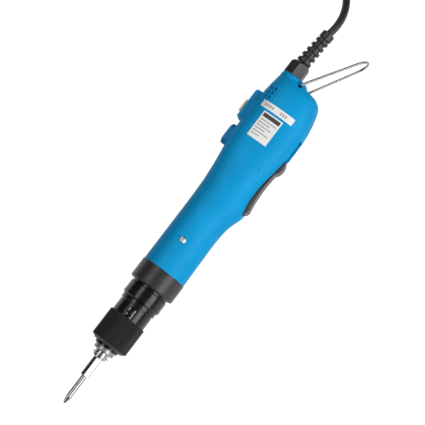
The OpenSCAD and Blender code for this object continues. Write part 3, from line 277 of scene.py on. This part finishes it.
LOOKS = {
    "blue": surface("moulded_blue", (0.0, 0.59, 0.82), 0.55, grain=1400, bump=0.25, mottle=0.05, spec=0.15),
    "blue_button": surface("button_blue", (0.0, 0.55, 0.80), 0.42, grain=1400, bump=0.15, mottle=0.04,
                           spec=0.2),
    "collar": surface("satin_black_steel", (0.20, 0.195, 0.205), 0.42, 0.35, grain=700, bump=0.12,
                      mottle=0.1),
    "gloss": surface("turned_black", (0.10, 0.10, 0.105), 0.24, 0.3, grain=500, bump=0.06, stretch=(1,
                     0.08, 0.08)),
    "knurl": surface("knurled_black", (0.17, 0.17, 0.18), 0.42, 0.35, grain=900, bump=0.15, mottle=0.12),
    "lever": surface("moulded_charcoal", (0.25, 0.235, 0.235), 0.45, grain=1600, bump=0.3, mottle=0.08),
    "rubber": surface("cable_rubber", (0.15, 0.15, 0.155), 0.45, grain=1500, bump=0.25, mottle=0.1),
    "relief": surface("moulded_rubber", (0.16, 0.16, 0.17), 0.4, grain=1500, bump=0.2, mottle=0.1),
    "strap": surface("woven_strap", (0.10, 0.10, 0.11), 0.85, grain=2600, bump=0.8, depth=0.0002,
                     mottle=0.2, spec=0.2),
    "steel": surface("turned_steel", (0.66, 0.66, 0.67), 0.3, 1.0, grain=700, bump=0.05, stretch=(1,
                     0.06, 0.06)),
    "bright": surface("bright_steel", (0.85, 0.84, 0.83), 0.25, 1.0, grain=600, bump=0.04),
    "wire": surface("drawn_wire", (0.58, 0.57, 0.56), 0.3, 1.0, grain=500, bump=0.05, stretch=(0.1, 1, 1)),
    "dull": surface("ground_steel", (0.58, 0.57, 0.56), 0.42, 1.0, grain=800, bump=0.15, mottle=0.12),
    "brass": surface("turned_brass", (0.82, 0.68, 0.36), 0.25, 1.0, grain=700, bump=0.06),
    "copper": surface("wound_copper", (0.80, 0.48, 0.30), 0.3, 1.0, grain=1500, bump=0.3, mottle=0.15),
    "magnet": surface("ground_magnet", (0.30, 0.30, 0.31), 0.6, 0.2, grain=900, bump=0.3, mottle=0.15),
    "dark": surface("moulded_dark", (0.17, 0.17, 0.18), 0.5, grain=1300, bump=0.2),
    "board": surface("circuit_board", (0.06, 0.34, 0.18), 0.45, grain=700, bump=0.1, mottle=0.15, coat=0.3),
    "paper": surface("printed_film", (0.93, 0.93, 0.925), 0.38, grain=1000, bump=0.03, mottle=0.02),
    "yellow": surface("moulded_yellow", (0.99, 0.78, 0.03), 0.42, grain=1500, bump=0.2, mottle=0.03),
    "print_dark": surface("dark_print", (0.22, 0.22, 0.23), 0.5, grain=1000, bump=0.03),
    "print_grey": surface("grey_print", (0.62, 0.62, 0.63), 0.5, grain=1000, bump=0.03),
    "print_light": surface("light_print", (0.80, 0.80, 0.80), 0.5, grain=1000, bump=0.03),
}
NODE_LOOKS = {
    "blue": ["housing_upper", "housing_lower"],
    "blue_button": ["push_button"],
    "collar": ["clamping_collar"],
    "gloss": ["scale_sleeve", "gear_case", "lock_ring", "nose_bush"],
    "knurl": ["torque_ring"],
    "lever": ["start_lever"],
    "relief": ["gland_body", "gland_nut", "strain_relief"],
    "rubber": ["plug_body", "cord_run", "cord_coil", "cord_tail"],
    "strap": ["cord_tie"],
    "steel": ["screwdriver_bit", "bit_sleeve", "output_spindle", "rotor_shaft", "retaining_ring", "lever_pin",
              "lever_spring", "sleeve_spring", "clutch_spring"],
    "bright": ["housing_screws", "detent_ball", "clutch_balls"],
    "wire": ["hanger_bail"],
    "dull": ["spring_seat", "thrust_plate", "drive_cam", "ring_gear", "output_carrier", "output_planet_1",
             "output_planet_2", "output_planet_3", "input_carrier", "input_planet_1", "input_planet_2",
             "input_planet_3", "output_bearing", "motor_can"],
    "brass": ["plug_insert", "motor_bushes"],
    "copper": ["commutator", "rotor_core"],
    "magnet": ["motor_magnets", "motor_brushes"],
    "dark": ["motor_end_cap", "start_switch", "switch_plunger", "button_switch", "direction_switch"],
    "board": ["circuit_board"],
    "paper": ["rating_label", "strip_label"],
    "yellow": ["direction_slider"],
}


def paint(obj, look):
    obj.data.materials.clear()
    obj.data.materials.append(LOOKS[look])


for look, names in NODE_LOOKS.items():
    for name in names:
        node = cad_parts[name]
        for place in node.material_slots:
            place.material = LOOKS[look]
        if not node.material_slots:
            node.data.materials.append(LOOKS[look])

# ---- The cable: rubber look, attached to the frame, with the imported cord parts hidden ----
paint(cable, "rubber")
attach(cable, "frame")
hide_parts("cord_run", "cord_coil", "cord_tail")


# ---- Knurled torque ring ----
def add_knurled_ring():
    """The torque ring with a crossed knurl, over the same outline as its solid."""
    low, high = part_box("torque_ring")
    outer = high.z
    around = 96
    pitch = 1.03 * MM
    depth = 0.32 * MM
    per_diamond = 4
    half = per_diamond // 2
    steps = around * per_diamond
    front = high.x - 2.2 * MM
    back = low.x + 0.5 * MM
    rows = int(round((front - back) / pitch * per_diamond))
    verts = []
    faces = []
    outline = [(low.x + 0.05 * MM, outer - 2.3 * MM), (low.x, outer - 1.6 * MM), (low.x, outer - 0.6 * MM)]
    tail = [(high.x - 0.6 * MM, outer - 2.9 * MM), (high.x, outer - 3.3 * MM), (high.x, outer - 5.3 * MM)]

    def ring(x, radius_at):
        for k in range(steps):
            turn = 2 * math.pi * k / steps
            radius = radius_at(k)
            verts.append((x, radius * math.cos(turn), radius * math.sin(turn)))

    for x, radius in outline:
        ring(x, lambda k, r=radius: r)
    for row in range(rows + 1):
        x = back + (front - back) * row / rows

        def tooth(k, row=row):
            one = abs((k + row) % per_diamond - half) / half
            other = abs((k - row) % per_diamond - half) / half
            return outer - depth * max(one, other)

        ring(x, tooth)
    for x, radius in tail:
        ring(x, lambda k, r=radius: r)
    for row in range(len(verts) // steps - 1):
        for k in range(steps):
            a, b = row * steps + k, row * steps + (k + 1) % steps
            faces.append((a, a + steps, b + steps, b))
    piece = mesh_piece("torque_ring_knurl", verts, faces, smooth=False)
    paint(piece, "knurl")
    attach(piece, "torque_ring")
    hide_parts("torque_ring")


add_knurled_ring()


# ---- Printed marks ----
PRINT_LIFT = 0.00006
SCALE_LIFT = 0.00003
PRINT_CELL = 0.0015
OVERHEAD = 0.1


def on_mesh(node, x, y):
    """The point of a node's outer face straight below (x, y, high up), and its normal."""
    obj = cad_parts[node]
    hit, point, normal, _ = obj.ray_cast(Vector((x, y, OVERHEAD)), Vector((0, 0, -1)))
    return (point, normal) if hit else (None, None)


def add_prints(name, node, look, patches, lift=PRINT_LIFT):
    """Thin printed patches that follow a node's face. Each is (x low, x high, y low, y high)."""
    verts = []
    faces = []
    for x0, x1, y0, y1 in patches:
        nx = max(int((x1 - x0) / PRINT_CELL), 1)
        ny = max(int((y1 - y0) / PRINT_CELL), 1)
        first = len(verts)
        for i in range(nx + 1):
            for j in range(ny + 1):
                point, normal = on_mesh(node, x0 + (x1 - x0) * i / nx, y0 + (y1 - y0) * j / ny)
                if point is None:
                    return
                verts.append(point + normal * lift)
        for i in range(nx):
            for j in range(ny):
                a = first + i * (ny + 1) + j
                faces.append((a, a + ny + 1, a + ny + 2, a + 1))
    piece = mesh_piece(name, verts, faces, smooth=False)
    paint(piece, look)
    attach(piece, "frame")


def add_label_prints():
    """Plain marks in the places of print: a bar and lines on the rating label, blocks on the strip."""
    (x0, y0, _), (x1, y1, _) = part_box("rating_label")
    edge = 1.1 * MM
    bar_wide = 3.2 * MM
    first_line = 6.2 * MM
    line_pitch = 2.5 * MM
    line_wide = 0.8 * MM
    indent = 0.4 * MM
    line_shares = (0.95, 0.7, 0.85, 0.6, 0.9, 0.5)
    bar = [(x0 + edge, x0 + edge + bar_wide, y0 + edge, y1 - edge)]
    lines = []
    for i, share in enumerate(line_shares):
        x = x0 + first_line + i * line_pitch
        lines.append((x, x + line_wide, y0 + edge + indent, y0 + edge + (y1 - y0 - 2 * edge) * share))
    add_prints("rating_label_bar", "rating_label", "print_dark", bar)
    add_prints("rating_label_lines", "rating_label", "print_grey", lines)
    (x0, y0, _), (x1, y1, _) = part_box("strip_label")
    mid = (x0 + x1) / 2
    half_wide = 1.1 * MM
    tall = 1.3 * MM
    pitch = 2.2 * MM
    starts = [y0 + 3 * MM + pitch * i for i in range(4)]
    starts += [y1 - 12 * MM + pitch * i for i in range(3)]
    marks = [(mid - half_wide, mid + half_wide, start, start + tall) for start in starts]
    add_prints("strip_label_marks", "strip_label", "print_grey", marks)


add_label_prints()


def add_scale():
    """The torque scale on the barrel's flat: a line, ticks along it and two figures."""
    front = 36.9 * MM
    line_y = 4.0 * MM
    line_thick = 0.35 * MM
    tick_half = 0.15 * MM
    first_tick = 1.2 * MM
    tick_pitch = 1.3 * MM
    long_tick = 1.6 * MM
    short_tick = 0.9 * MM
    first_figure = 2.9 * MM
    figure_pitch = 3.9 * MM
    figure_y = -0.6 * MM
    marks = [(front - 8.2 * MM, front - 0.5 * MM, line_y, line_y + line_thick)]
    for i in range(6):
        x = front - first_tick - tick_pitch * i
        tick = short_tick if i % 3 else long_tick
        marks.append((x - tick_half, x + tick_half, line_y - tick, line_y))
    add_prints("torque_scale", "scale_sleeve", "print_light", marks, lift=SCALE_LIFT)
    for i, figure in enumerate("12"):
        text = bpy.data.curves.new("scale_figure_" + figure, "FONT")
        text.body = figure
        text.size = 3.2 * MM
        text.extrude = 0.02 * MM
        text.align_x = "CENTER"
        text.align_y = "CENTER"
        obj = link("scale_figure_" + figure, text)
        x = front - first_figure - figure_pitch * i
        point, normal = on_mesh("scale_sleeve", x, figure_y)
        along = Vector((1, 0, 0))
        turn = Matrix((along.cross(normal), along, normal)).transposed()
        obj.matrix_world = Matrix.Translation(point + normal * SCALE_LIFT) @ turn.to_4x4()
        obj.data.materials.append(LOOKS["print_light"])
        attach(obj, "frame")


add_scale()

# ---- Floor and light ----
FLOOR_REACH = 1.6
FLOOR_GREY = 0.30
FLOOR_SHOWN = 0.9
WALL_LIGHT = 0.42
CEILING_LIGHT = 0.20
WALL_TOP = 0.15
CEILING_EDGE = 0.75
LAMP_FAR = 0.8
LAMP_LONG = 1.3
LAMP_X = -0.07


def add_floor():
    """A matt floor that takes the shadow, and that the camera and the reflections see as pale."""
    reach = FLOOR_REACH
    corners = [(-reach, -reach, TABLE_Z), (reach, -reach, TABLE_Z), (reach, reach, TABLE_Z),
               (-reach, reach, TABLE_Z)]
    floor = mesh_piece("floor", corners, [(0, 1, 2, 3)], smooth=False)
    material = bpy.data.materials.new("pale_floor")
    material.use_nodes = True
    nodes, links = material.node_tree.nodes, material.node_tree.links
    out = nodes["Material Output"]
    nodes.remove(nodes["Principled BSDF"])
    matt = nodes.new("ShaderNodeBsdfDiffuse")
    matt.inputs["Color"].default_value = (FLOOR_GREY, FLOOR_GREY, FLOOR_GREY, 1)
    glow = nodes.new("ShaderNodeEmission")
    path = nodes.new("ShaderNodeLightPath")
    seen = nodes.new("ShaderNodeMath")
    seen.operation = "MAXIMUM"
    links.new(path.outputs["Is Camera Ray"], seen.inputs[0])
    links.new(path.outputs["Is Glossy Ray"], seen.inputs[1])
    level = nodes.new("ShaderNodeMath")
    level.operation = "MULTIPLY"
    level.inputs[1].default_value = FLOOR_SHOWN
    links.new(seen.outputs["Value"], level.inputs[0])
    links.new(level.outputs["Value"], glow.inputs["Strength"])
    both = nodes.new("ShaderNodeAddShader")
    links.new(matt.outputs["BSDF"], both.inputs[0])
    links.new(glow.outputs["Emission"], both.inputs[1])
    links.new(both.outputs["Shader"], out.inputs["Surface"])
    floor.data.materials.append(material)


def add_world():
    """A dim room, lighter at the walls than overhead, that shows dark grey past the floor's edge."""
    world = bpy.data.worlds.new("studio")
    scene.world = world
    world.use_nodes = True
    nodes, links = world.node_tree.nodes, world.node_tree.links
    back = nodes["Background"]
    place = nodes.new("ShaderNodeTexCoord")
    split = nodes.new("ShaderNodeSeparateXYZ")
    links.new(place.outputs["Generated"], split.inputs["Vector"])
    ceiling = nodes.new("ShaderNodeMapRange")
    ceiling.inputs["From Min"].default_value = WALL_TOP
    ceiling.inputs["From Max"].default_value = CEILING_EDGE
    ceiling.inputs["To Min"].default_value = WALL_LIGHT
    ceiling.inputs["To Max"].default_value = CEILING_LIGHT
    links.new(split.outputs["Z"], ceiling.inputs["Value"])
    path = nodes.new("ShaderNodeLightPath")
    level = nodes.new("ShaderNodeMix")
    links.new(path.outputs["Is Camera Ray"], level.inputs["Factor"])
    links.new(ceiling.outputs["Result"], level.inputs["A"])
    level.inputs["B"].default_value = 1.0
    links.new(level.outputs["Result"], back.inputs["Strength"])


def add_softbox(name, tilt, watts, wide):
    """A lamp over the tool axis, tilted from straight above towards the lever side."""
    lamp = bpy.data.lights.new(name, "AREA")
    lamp.shape = "RECTANGLE"
    lamp.size = LAMP_LONG
    lamp.size_y = wide
    lamp.energy = watts
    obj = link(name, lamp)
    turn = math.radians(tilt)
    obj.location = (LAMP_X, LAMP_FAR * math.sin(turn), LAMP_FAR * math.cos(turn))
    obj.rotation_euler = (-turn, 0, 0)


add_floor()
add_world()
add_softbox("key", 54, 8.5, 0.42)
add_softbox("fill", -24, 3.5, 0.22)
